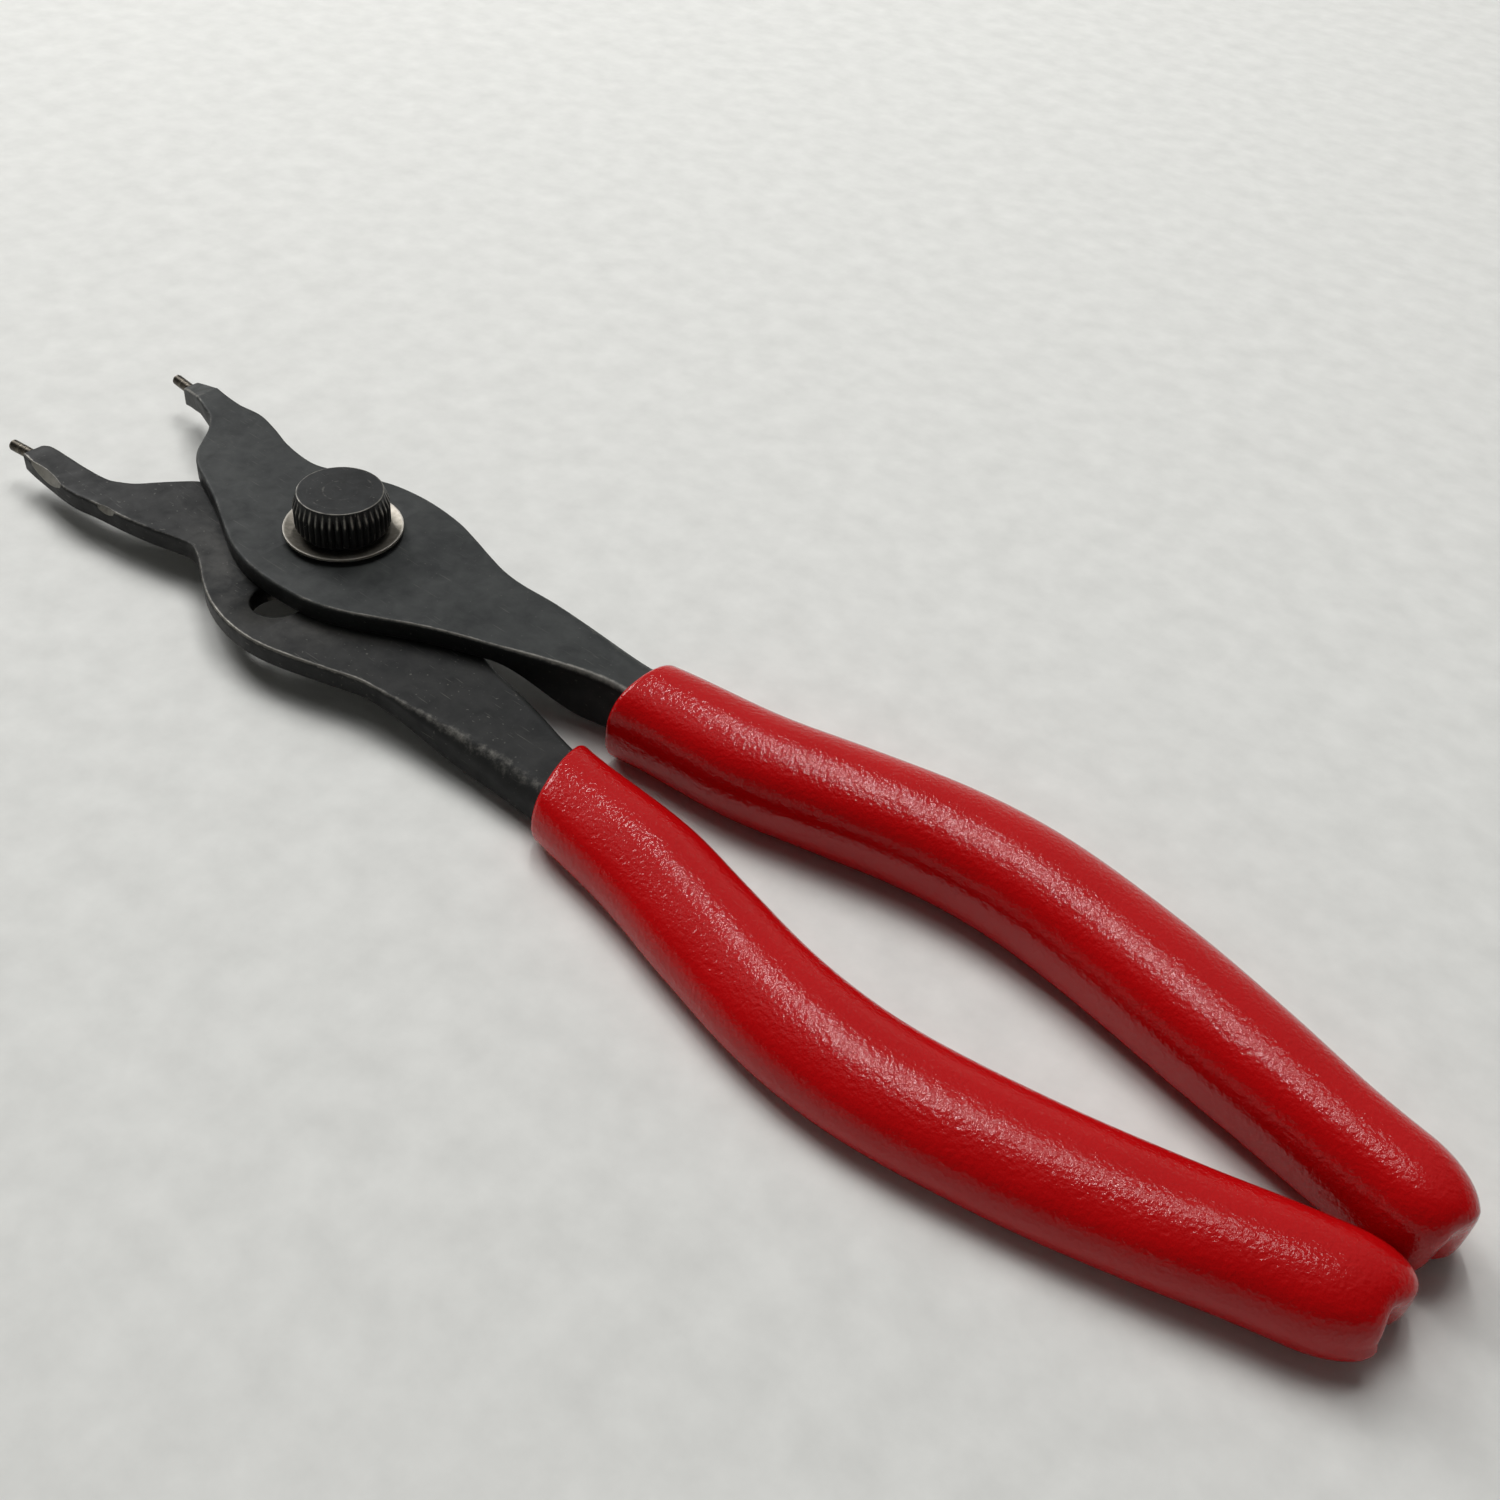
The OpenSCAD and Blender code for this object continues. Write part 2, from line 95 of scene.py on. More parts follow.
def skin(name, rows, marks=None, wrap=False, sharp=40):
    """One closed mesh through rows of points in millimetres. marks gives each point's wear."""
    n, m = len(rows[0]), len(rows)
    mesh = bpy.data.meshes.new(name)
    points = [tuple(c * MM for c in p) for row in rows for p in row]
    faces = []
    for i in range(m if wrap else m - 1):
        k = (i + 1) % m
        faces += [(i * n + j, k * n + j, k * n + (j + 1) % n, i * n + (j + 1) % n) for j in range(n)]
    if not wrap:
        faces += [tuple(range(n)), tuple(reversed(range((m - 1) * n, m * n)))]
    mesh.from_pydata(points, [], faces)
    wear = mesh.attributes.new("wear", "FLOAT", "POINT")
    if marks:
        wear.data.foreach_set("value", [v for row in marks for v in row])
    build = bmesh.new()
    build.from_mesh(mesh)
    bmesh.ops.remove_doubles(build, verts=build.verts, dist=SAME_POINT)
    bmesh.ops.recalc_face_normals(build, faces=build.faces)
    build.to_mesh(mesh)
    build.free()
    mesh.polygons.foreach_set("use_smooth", [True] * len(mesh.polygons))
    mesh.set_sharp_from_angle(angle=math.radians(sharp))
    piece = bpy.data.objects.new(name, mesh)
    bpy.context.scene.collection.objects.link(piece)
    return piece


def dress(piece, body, node, material):
    """The piece takes the place of a construction node on its body, in that material."""
    piece.data.materials.clear()
    piece.data.materials.append(material)
    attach(piece, body)
    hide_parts(node)
    print(piece.name, "rides on", body, "with", len(piece.data.polygons), "faces")


# %% [markdown]
# ## Helpers for finishes
# Colours are written as sRGB hex values, the way a designer reads them off a swatch, and one function
# turns them to the linear numbers that the renderer works in. One more function adds a shader node
# with its settings and inputs. A few short ones name the nodes that every finish uses, so that each
# finish below reads as a list of what it is made of.


# %% Colours and shader nodes
def linear(code):
    """Linear colour of an sRGB hex value."""
    parts = [int(code[i:i + 2], 16) / 255 for i in (1, 3, 5)]
    return tuple(c / 12.92 if c <= 0.04045 else ((c + 0.055) / 1.055) ** 2.4 for c in parts) + (1.0,)


def feed(tree, node, inputs):
    """Gives each named input of a node a link from another node, or else a plain value."""
    for key, value in inputs.items():
        if isinstance(value, bpy.types.NodeSocket):
            tree.links.new(value, node.inputs[key])
        else:
            node.inputs[key].default_value = value


def add(tree, kind, inputs=None, **settings):
    """A new node with its settings and its inputs."""
    made = tree.nodes.new(kind)
    for key, value in settings.items():
        setattr(made, key, value)
    feed(tree, made, inputs or {})
    return made


def new_material(name):
    """An empty node material, with its tree, its shader and its object coordinates."""
    made = bpy.data.materials.new(name)
    made.use_nodes = True
    shader = made.node_tree.nodes["Principled BSDF"]
    place = made.node_tree.nodes.new("ShaderNodeTexCoord").outputs["Object"]
    return made, made.node_tree, shader, place


# %% Nodes that every finish uses
def per_mm(size):
    """Texture scale for a feature of that size in millimetres."""
    return 1 / (size * MM)


def noise(tree, place, size, detail, rough=0.5, bend=0.0):
    """Noise with features of about that size in millimetres."""
    return add(tree, "ShaderNodeTexNoise", {
        "Vector": place, "Scale": per_mm(size), "Detail": detail, "Roughness": rough,
        "Distortion": bend}).outputs["Fac"]


def graded(tree, value, low, high, first=0.0, last=1.0, kind="LINEAR"):
    """A value carried over from one range to another."""
    return add(tree, "ShaderNodeMapRange", {
        "Value": value, "From Min": low, "From Max": high, "To Min": first, "To Max": last},
        interpolation_type=kind).outputs[0]


def mixed(tree, share, one, two):
    """A colour between two, each of them a link or an sRGB hex value."""
    one, two = (linear(c) if isinstance(c, str) else c for c in (one, two))
    return add(tree, "ShaderNodeMix", {0: share, 6: one, 7: two}, data_type="RGBA").outputs[2]


def worked(tree, operation, one, two=0.0):
    """The result of one sum on two values."""
    return add(tree, "ShaderNodeMath", {0: one, 1: two}, operation=operation).outputs[0]


def edge_wear(tree):
    """How worn the piece is here, from 0 to 1, as its own mesh says."""
    return add(tree, "ShaderNodeAttribute", attribute_name="wear").outputs["Fac"]


# %% [markdown]
# ## Black oxide on steel
# Blackened steel is a thin dark skin on the metal. To the eye it is a soft charcoal with a low sheen,
# mottled a little by handling, and its upright sides are painted darker as painted shade. Where edges
# rub, the skin is gone and bare steel shines through.
# The wear follows an attribute that each piece carries on its edges, broken up by noise, because
# a curvature trick would depend on how finely the mesh is cut.

# %% Marks on the steel: sizes in millimetres, and tones
CLOUD, SMUDGE, GRAIN = 11, 2.8, 0.35
CHIP, PRICK = 1.3, 0.4
SCRATCH = (3.6, 0.16, 0.3)  # length, width and depth
SCRATCH_WAYS = ((22, 0.0), (-47, 31.0))  # direction in degrees, and a shift that sets the two apart
RUB_INNER, RUB_OUTER = 18, 26  # the rubbed ring fades between these radii
# the near black below is painted shade for upright sides, not a colour of the steel
BARE_STEEL, SIDE_SHADE_BLACK = "#8d8a83", "#060606"


# %% Where the steel is black, where its sides get painted shade, and where it is bare
def painted_side_shade(tree):
    """How upright a face is, as the share of painted shade that darkens the upright sides."""
    normal = tree.nodes.new("ShaderNodeNewGeometry").outputs["Normal"]
    up = add(tree, "ShaderNodeSeparateXYZ", {0: normal}).outputs["Z"]
    return graded(tree, worked(tree, "ABSOLUTE", up), 0.15, 0.75, 0.75, 0.0, "SMOOTHSTEP")


def scratch_share(tree, place):
    """Short scratches in two directions, drawn wide enough to show, and pin-prick chips."""
    marks = graded(tree, noise(tree, place, PRICK, 0), 0.785, 0.85, kind="SMOOTHSTEP")
    for turn, patch in SCRATCH_WAYS:
        way = add(tree, "ShaderNodeMapping", {
            "Vector": place, "Rotation": (0, 0, math.radians(turn)), "Location": (patch, patch, 0),
            "Scale": tuple(per_mm(size) for size in SCRATCH)})
        streak = add(tree, "ShaderNodeTexNoise", {
            "Vector": way.outputs[0], "Scale": 1.0, "Detail": 0, "Distortion": 0.3})
        thin = graded(tree, streak.outputs["Fac"], 0.79, 0.88, kind="SMOOTHSTEP")
        marks = worked(tree, "MAXIMUM", marks, thin)
    return marks


def ring_share(tree, place, gain):
    """The ring about the pivot that the other arm rubs."""
    level = add(tree, "ShaderNodeVectorMath", {0: place, 1: (1, 1, 0)}, operation="MULTIPLY")
    far = add(tree, "ShaderNodeVectorMath", {0: level.outputs[0]}, operation="LENGTH")
    return graded(tree, far.outputs["Value"], RUB_OUTER * MM, RUB_INNER * MM, 0.0, gain, "SMOOTHSTEP")


def edge_share(tree, place):
    """Bare steel where the edges wear, broken up by noise."""
    worn = worked(tree, "ADD", edge_wear(tree), noise(tree, place, CHIP, 5, 0.7))
    return graded(tree, worn, 0.9, 1.5, 0.0, 0.85, "SMOOTHSTEP")


# %% Black oxide steel
def black_oxide(name, dark, pale, rough, marks_gain, rub_gain=0.0):
    """Oxide between two tones; the gains say how much its scratches and its rubbed ring show."""
    made, tree, shader, place = new_material(name)
    # clouds of handling and smudges of oil
    smudge = noise(tree, place, SMUDGE, 5, 0.6, 0.4)
    depth = add(tree, "ShaderNodeMix", {0: 0.4, 2: noise(tree, place, CLOUD, 6, 0.65), 3: smudge},
                data_type="FLOAT")
    mottle = graded(tree, depth.outputs[0], 0.36, 0.64)
    # painted shade: the mottled tone is mixed toward near black on upright faces
    tone_with_side_shade = mixed(tree, painted_side_shade(tree), mixed(tree, mottle, dark, pale), SIDE_SHADE_BLACK)
    # bare steel under the scratches, the rubbed ring and the worn edges
    faint = worked(tree, "MULTIPLY", scratch_share(tree, place), marks_gain)
    rubbed = worked(tree, "MULTIPLY", ring_share(tree, place, rub_gain), mottle)
    bare = worked(tree, "MAXIMUM", edge_share(tree, place), worked(tree, "MAXIMUM", faint, rubbed))
    # sheen of the oil, and the grain of the blasted sheet
    sheen = graded(tree, smudge, 0.3, 0.7, rough + 0.09, rough - 0.09)
    polish = add(tree, "ShaderNodeMix", {0: bare, 2: sheen, 3: 0.4}, data_type="FLOAT")
    relief = add(tree, "ShaderNodeBump", {
        "Height": noise(tree, place, GRAIN, 2), "Strength": 0.2, "Distance": 0.03 * MM})
    feed(tree, shader, {
        "Base Color": mixed(tree, bare, tone_with_side_shade, BARE_STEEL), "Metallic": bare,
        "Roughness": polish.outputs[0], "Normal": relief.outputs[0], "Specular IOR Level": 0.2})
    return made


arm_finish = black_oxide("black oxide steel, handled", "#262828", "#373938",
                         rough=0.52, marks_gain=0.16)
rubbed_finish = black_oxide("black oxide steel, rubbed at the pivot", "#171818", "#262625",
                            rough=0.52, marks_gain=0.2, rub_gain=0.1)
nut_finish = black_oxide("black oxide steel, turned", "#191a1a", "#2e2f2f",
                         rough=0.46, marks_gain=0.3)
print("finishes:", [made.name for made in (arm_finish, rubbed_finish, nut_finish)])

# %% [markdown]
# ## The arms
# Each arm is one stamping: a flat plate at the pivot that turns into a channel, open underneath,
# where it becomes the handle. It could be a flat outline with thickness, but the folds would be lost.
# So each arm is a loft of upright sections along X. The section keeps the same points from jaw to
# handle: where the plate is flat, the channel's depth is simply nothing.

# %% Sizes of the arms, in millimetres
PLATE = 3.0  # thickness of the sheet
LOWER_Z, UPPER_Z = 4.0, 7.06  # undersides of the two plates
FLANGE, FLANGE_Z = 2.2, 1.8  # wall of the channel, and height of its feet above the table
BREAK, GUARD = 0.42, 0.3  # rounding of the shorn edges, and the strip that keeps the flats flat
BEND_OUT, BEND_IN = 2.6, 0.9  # rounding of the folds, on the outer and the inner sides of the handles
FOLD_R = 0.8  # rounding inside the channel
GRIND = math.radians(24)  # slope of the ground scallops, away from the upright
SCALLOPS = ((-45.5, 0.65, 9.7), (-31.8, 0.4, 4.7))  # middle, depth and length of each
FACET_ROWS = (0, 0.06, 0.3, 0.7, 0.94, 1)  # rows of points across a scallop
ROUND_WEAR = (0.3, 0.5, 0.75, 1, 1, 0.7)  # share of the wear round an edge, from its side to its top
FOOT_WEAR = 0.3
CREASE_X, JAW_END, FOLD_END = -44.2, -28, 52
CREASE_WEAR = (0.1, 0.6)  # the wear of the crease fades between these distances
LIP_TURNS = (0, 0.5, 1.05)  # radians round the front edge
PLATE_END, HANDLE_FROM = 56, 57
JAW_STEP, PLATE_STEP, HANDLE_STEP = 0.3, 0.7, 2.0  # spacing of the sections
UPPER_ENDS, LOWER_ENDS = (-52.2, 160.2), (-52.6, 158.2)
TANG_W = 9.4  # width of the handle inside the grip

# %% Outlines of the arms: (x, y) along the middle of each handle, then along each edge
PATH_U = [(58.9, 5.9), (71.3, 7.3), (83.6, 10.3), (95, 12.95), (104.5, 14.05), (114, 13.75),
          (128.3, 11.5), (144.4, 7.9), (156, 5), (172, 2)]
PATH_L = [(60.2, -13.3), (72.6, -14.7), (84.9, -17.7), (96.3, -20.4), (105.8, -21.5), (115.3, -21.2),
          (129.6, -18.9), (145.7, -15.3), (156, -12.6), (172, -8.8)]
UPPER_OUT = [(-52.2, 13.5), (-49.1, 12.9), (-44.2, 11.8), (-38, 11.2), (-33.3, 11.6), (-28.5, 10.6),
             (-23.8, 9.2), (-19, 8.55), (-16, 8.75), (-12.4, 10.2), (-6.7, 12.6), (-2.9, 13.7),
             (2.9, 14.2), (9.5, 13.6), (14.3, 12.35), (19, 10.9), (22.8, 9.9), (26.6, 9.5),
             (33.3, 9.7), (42.8, 9.8), (52.3, 9.8)]
UPPER_IN = [(-52.2, 10.5), (-49.4, 9.6), (-44.6, 7.8), (-41, 6.6), (-38, 5.4), (-35.2, 3), (-33.3, 0.5),
            (-31.4, -1.9), (-28.5, -4.1), (-24.7, -5.7), (-19, -8.1), (-14.3, -10.5), (-9.5, -12.8),
            (-4.8, -14.25), (0, -14.8), (4.8, -14.7), (9.5, -14.1), (14.3, -12.35), (19, -9.8),
            (23.8, -7.2), (28.5, -5.1), (33.3, -3.3), (38, -1.5), (42.8, 0.2), (47.5, 1.6), (52.3, 2.2)]
LOWER_OUT = [(-52.6, -18.4), (-49.4, -18.8), (-45.6, -19.1), (-40.9, -19.4), (-38, -19.3), (-34.2, -18.6),
             (-28.5, -17.8), (-23.8, -16.9), (-19, -15.6), (-16.2, -15.1), (-14.3, -15.6), (-11.4, -17.1),
             (-7.6, -19.4), (-3.8, -21.2), (0, -22.3), (3.8, -22.8), (7.6, -22.7), (11.4, -22),
             (15.2, -20.9), (19, -19.7), (23.8, -18.2), (28.5, -17.7), (33.3, -17.5), (44, -17.3),
             (53.5, -17.4)]
LOWER_IN = [(-52.6, -14.9), (-51.4, -14.1), (-47.5, -13.9), (-42.8, -13.8), (-38, -13.3), (-36.1, -12.35),
            (-34.2, -10.9), (-32.3, -8.4), (-30.4, -6), (-28.5, -4), (-24, -1.6), (-19, 0), (-12, 2.6),
            (-7.6, 5), (-3.8, 6.9), (0, 8), (4, 8.4), (8, 8), (12, 6.8), (16, 5), (20, 3), (25, 0.3),
            (30, -2.2), (35, -3.9), (40.9, -4.9), (45.6, -5.9), (53.5, -7.8)]


# %% One section of an arm
def rounded(points, side, shares=ROUND_WEAR):
    """A rounded edge, each point with its share of the wear on that side."""
    return [([p], share, side) for p, share in zip(points, shares)]


def arm_section(y0, y1, web, top, foot, r0, r1, ground):
    """Points (y, z) of one section, each with its share of wear and its side: 0 none, 1 low, 2 high."""
    wide, deep = y1 - y0, web - foot
    wall = min(FLANGE, 0.3 * wide)
    small, inner = min(BREAK, 0.4 * deep), min(FOLD_R, 0.4 * deep)
    drop, run = ground / math.sin(GRIND), ground / math.cos(GRIND)
    if run > r0 / 2:
        drop = max(drop, r0)
        facet = [([(y0 + run * t, top - drop * (1 - t)) for t in FACET_ROWS], 1, 1)]
    else:
        drop = run = r0
        facet = rounded(arc(y0 + r0, top - r0, r0, 180, 90, 5), 1)
    parts = [
        (arc(y0 + BREAK, foot + BREAK, BREAK, 270, 180, 3), FOOT_WEAR, 1),
        ([(y0, top - drop - GUARD)], 0, 0),
        *facet,
        ([(y0 + run + GUARD, top), (y1 - r1 - GUARD, top)], 0, 0),
        *rounded(arc(y1 - r1, top - r1, r1, 90, 0, 5), 2, ROUND_WEAR[::-1]),
        ([(y1, top - r1 - GUARD)], 0, 0),
        (arc(y1 - BREAK, foot + BREAK, BREAK, 0, -90, 3), FOOT_WEAR, 2),
        (arc(y1 - wall + small, foot + small, small, 270, 180, 2), 0, 0),
        (arc(y1 - wall - inner, web - inner, inner, 0, 90, 3), 0, 0),
        (arc(y0 + wall + inner, web - inner, inner, 90, 180, 3), 0, 0),
        (arc(y0 + wall - small, foot + small, small, 0, -90, 2), 0, 0),
    ]
    return [(p, share, side) for points, share, side in parts for p in points]


# %% A whole arm
def arm(name, low, high, ends, level, fold, grow, radii, wear, crease=0, ground=lambda x: 0):
    """A loft between two edges; level gives underside and top of the plate at x, grow where its walls grow."""
    x0, x1 = ends
    lip = [(BREAK * (1 - math.cos(t)), BREAK * (1 - math.sin(t))) for t in LIP_TURNS]
    places = [(x0 + dx, inset) for dx, inset in lip]
    places += [(x, 0) for x in spread(x0 + BREAK, JAW_END, JAW_STEP)]
    places += [(x, 0) for x in spread(JAW_END + PLATE_STEP, PLATE_END, PLATE_STEP)]
    places += [(x, 0) for x in spread(HANDLE_FROM, x1, HANDLE_STEP)]
    rows, marks = [], []
    for x, inset in places:
        web, top = level(x)
        foot = web - (web - FLANGE_Z) * ease(*grow, x)
        r0, r1 = (BREAK + (r - BREAK) * ease(fold, FOLD_END, x) for r in radii)
        section = arm_section(curve_at(low, x) + inset, curve_at(high, x) - inset, web + inset, top - inset,
                              foot + inset, r0, r1, ground(x))
        rows.append([(x, y, z) for (y, z), share, side in section])
        rub = (0, curve_at(wear[0], x), curve_at(wear[1], x))
        bent = crease * (1 - ease(*CREASE_WEAR, abs(x - CREASE_X)))
        marks.append([max(share * rub[side], bent * (p[1] > top - 0.1)) for p, share, side in section])
    return skin(name, rows, marks, sharp=50)


# %% [markdown]
# The upper jaw bends down to the level of the lower one, so its plate drops in front of a crease.
# The lower jaw has two scallops ground into its outer corner by a wheel, each a facet of bare steel,
# so its corner is cut back there by the wheel's arc. Wear is given along each edge: most of it
# is where the arms slide in and out of a pocket and where a hand rubs beside the grips.


# %% Levels and cuts of the two arms
def upper_level(x):
    """Underside and top of the upper plate, which slopes down in front of the crease."""
    slope = (UPPER_Z - LOWER_Z) / (CREASE_X - UPPER_ENDS[0])
    under = CREASE_X + PLATE * math.tan(math.atan(slope) / 2)
    return UPPER_Z - slope * max(under - x, 0), UPPER_Z + PLATE - slope * max(CREASE_X - x, 0)


def lower_level(x):
    """Underside and top of the lower plate, which is flat."""
    return LOWER_Z, LOWER_Z + PLATE


def jaw_ground(x):
    """Depth that the wheel took off the outer corner of the lower jaw at x."""
    return max([0] + [deep * (1 - (2 * (x - mid) / long) ** 2) for mid, deep, long in SCALLOPS])


def shifted(path, d):
    """The same path, moved sideways."""
    return [(x, y + d) for x, y in path]


# %% Upper and lower arm
# wear (x, amount) along the low and the high edge of each arm
wear_upper = ([(-52, 0.9), (-46, 0.75), (-40, 0.5), (-10, 0.45), (10, 0.6), (22, 0.8), (48, 0.8), (60, 0.6)],
              [(-52, 0.6), (-40, 0.4), (0, 0.4), (30, 0.45), (60, 0.4)])
wear_lower = ([(-52, 0.9), (-44, 0.95), (-38, 0.45), (-34, 0.8), (-29, 0.8), (-22, 0.5), (-8, 0.7),
               (4, 0.95), (24, 0.88), (31, 0.62), (46, 0.58), (60, 0.4)],
              [(-52, 0.6), (-40, 0.45), (0, 0.3), (60, 0.3)])
upper_arm = arm("upper_arm_stamping",
                UPPER_IN + shifted(PATH_U, -TANG_W / 2), UPPER_OUT + shifted(PATH_U, TANG_W / 2),
                UPPER_ENDS, upper_level, fold=30, grow=(33, 47), radii=(BEND_IN, BEND_OUT),
                wear=wear_upper, crease=0.5)
lower_arm = arm("lower_arm_stamping",
                LOWER_OUT + shifted(PATH_L, -TANG_W / 2), LOWER_IN + shifted(PATH_L, TANG_W / 2),
                LOWER_ENDS, lower_level, fold=24, grow=(25, 44), radii=(BEND_OUT, BEND_IN),
                wear=wear_lower, ground=jaw_ground)
print("arms lofted:", len(upper_arm.data.vertices), "and", len(lower_arm.data.vertices), "points")

# %% [markdown]
# ## Holes in the arms
# The lower arm has two round holes, one for each way of setting the tool. The stud sits in one and
# the other shows beside the pivot. A boolean cut is the plain way to drill a finished plate. Where
# the cut passes very near a row of the loft it leaves slivers, so points within a few micrometres
# are welded afterwards.

# %% Drill the arms
HOLE_R, NECK_HOLE_R = 3.85, 3.15
SECOND_HOLE = (2.8, -14.6)
RIM, BEYOND = 0.2, 0.3  # broken rim, and how far the cutter reaches past the plate
DRILL_SIDES = 72
WELD = 0.006  # millimetres


def drill(plate, x, y, r, z0, z1):
    """Cuts an upright round hole with a slightly broken rim through a plate."""
    wide = r + RIM + BEYOND
    profile = [(wide, z0 - BEYOND), (r, z0 + RIM), (r, z1 - RIM), (wide, z1 + BEYOND)]
    turns = [2 * math.pi * i / DRILL_SIDES for i in range(DRILL_SIDES)]
    rows = [[(x + q * math.cos(t), y + q * math.sin(t), z) for t in turns] for q, z in profile]
    cutter = skin("drill", rows)
    cut = plate.modifiers.new("hole", "BOOLEAN")
    cut.object = cutter
    cut.operation = "DIFFERENCE"
    cut.solver = "EXACT"
    graph = bpy.context.evaluated_depsgraph_get()
    done = bpy.data.meshes.new_from_object(plate.evaluated_get(graph))
    plate.modifiers.clear()
    plate.data = done
    bpy.data.objects.remove(cutter)
    build = bmesh.new()
    build.from_mesh(done)
    bmesh.ops.remove_doubles(build, verts=build.verts, dist=WELD * MM)
    bmesh.ops.dissolve_degenerate(build, edges=build.edges, dist=WELD * MM)
    build.to_mesh(done)
    build.free()


drill(lower_arm, 0, 0, HOLE_R, LOWER_Z, LOWER_Z + PLATE)
drill(lower_arm, *SECOND_HOLE, HOLE_R, LOWER_Z, LOWER_Z + PLATE)
drill(upper_arm, 0, 0, NECK_HOLE_R, UPPER_Z, UPPER_Z + PLATE)
dress(upper_arm, "upper", "upper_arm", arm_finish)
dress(lower_arm, "lower", "lower_arm", rubbed_finish)

# %% [markdown]
# ## Dipped vinyl
# The handles are hung in liquid vinyl and baked, which leaves a thick soft coat with a satin gloss and
# a fine pebble like orange peel. The colour is a deep even red, and the eye reads the coat by its broken
# highlight. So the finish is one red with a little mottling and a bump of under a millimetre.

# %% Red dipped vinyl
PEBBLE, PEBBLE_HIGH = 0.65, 0.15
DIP_CLOUD = 14


def dipped_vinyl():
    """One red with a little mottling, and the pebble as a bump; sizes in millimetres."""
    made, tree, shader, place = new_material("red dipped vinyl")
    cloud = noise(tree, place, DIP_CLOUD, 3)
    relief = add(tree, "ShaderNodeBump", {
        "Height": noise(tree, place, PEBBLE, 2, 0.55), "Strength": 0.7, "Distance": PEBBLE_HIGH * MM})
    feed(tree, shader, {
        "Base Color": mixed(tree, cloud, "#ab0609", "#bb080c"),
        "Roughness": graded(tree, cloud, 0.3, 0.7, 0.12, 0.18), "Normal": relief.outputs[0],
        "IOR": 1.5, "Specular IOR Level": 0.36})
    return made


vinyl = dipped_vinyl()
print("finish:", vinyl.name)

# %% [markdown]
# ## The grips
# A grip swells from its front edge, bows out for the hand and narrows to a rounded end. A swept curve
# would keep one section all along, so this is a loft again: width, height and slant change with X.
# The underside keeps the hollow that the open channel leaves in the dip, and at the rear end
# that hollow runs up into a dent between two lobes.

# %% Sizes of the grips, in millimetres
GRIP_W, NOSE_W = 16.2, 14.6  # width of the body and of the front edge
COVER = 1.85  # vinyl over the top of the handle
TOP_R, BOTTOM_R, CROWN_R = 5.4, 4.2, 12.0
LIP = 1.0  # rounding of the front edge
TAIL_LONG, TAIL_SIDE, TAIL_TOP, TAIL_LOW = 8.0, 5.0, 3.0, 2.4  # how far the end draws in, each way
FOOT_DRAW = 0.8  # the foot draws in less than the side, by this share
LEAST_R, SLACK, SIDE_FLAT = 0.4, 0.1, 0.3  # limits that keep the roundings apart
HOLLOW_W, HOLLOW_H = 2.0, 3.0
DENT_DEEP, DENT_WIDE, DENT_SHUT = 2.6, 2.0, 0.97
SWELL, TAPER = (54, 82), (130, 162)  # where along X the grip widens and narrows
SLANT_LONG, GRIP_STEP = 20, 1.2
CLOSE_AT = 0.6  # height at which the end closes, as a share of the whole
CLOSE_ROWS = (0.93, 0.82, 0.68, 0.5, 0.3, 0.12)


# %% One section of a grip
def grip_section(half, top, side, low, high, shut):
    """Points (y, z): a crowned top, round sides and the hollow underneath, partly shut."""
    a, foot, b = half - side, half - FOOT_DRAW * side, top - high
    rt = min(max(TOP_R - high, LEAST_R), (b - low) / 2 - SLACK, a - SLACK)
    lean = math.asin((a - rt) / (CROWN_R - rt))
    tilt = math.degrees(lean)
    shoulder = (a - rt, b - CROWN_R + (CROWN_R - rt) * math.cos(lean))
    rb = min(max(BOTTOM_R - low, LEAST_R), shoulder[1] - low - SIDE_FLAT)
    wide = min(HOLLOW_W, 0.5 * a)
    tall = HOLLOW_H * wide / HOLLOW_W * (1 - shut)
    hollow = [(-wide * math.cos(t), low + tall * math.sin(t)) for t in (math.pi * i / 8 for i in range(9))]
    return (arc(foot - rb, low + rb, rb, 270, 360, 8)
            + arc(*shoulder, rt, 0, 90 - tilt, 9)
            + arc(0, b - CROWN_R, CROWN_R, 90 - tilt, 90 + tilt, 12)[1:-1]
            + arc(-shoulder[0], shoulder[1], rt, 90 + tilt, 180, 9)
            + arc(rb - foot, low + rb, rb, 180, 270, 8)
            + hollow)


def grip_stations(x0, x1):
    """Along X: place, how far side, foot and top draw in, share of the dent, and share of the size."""
    made = []
    for t in (math.radians(d) for d in range(0, 90, 10)):
        lip = LIP * (1 - math.sin(t))
        made.append((x0 + LIP * (1 - math.cos(t)), lip, lip, lip, 0, 1))
    made += [(x, 0, 0, 0, 0, 1) for x in spread(x0 + LIP, x1 - TAIL_LONG, GRIP_STEP)]
    for t in (math.radians(d) for d in range(5, 76, 5)):
        draw = 1 - math.cos(t)
        end = (TAIL_SIDE * draw, TAIL_LOW * draw, TAIL_TOP * draw)
        made.append((x1 - TAIL_LONG * (1 - math.sin(t)), *end, math.sin(t) ** 2, 1))
    blunt = x1 - made[-1][0]
    return made + [(x1 - blunt * size ** 4, *end, 1, size) for size in CLOSE_ROWS]


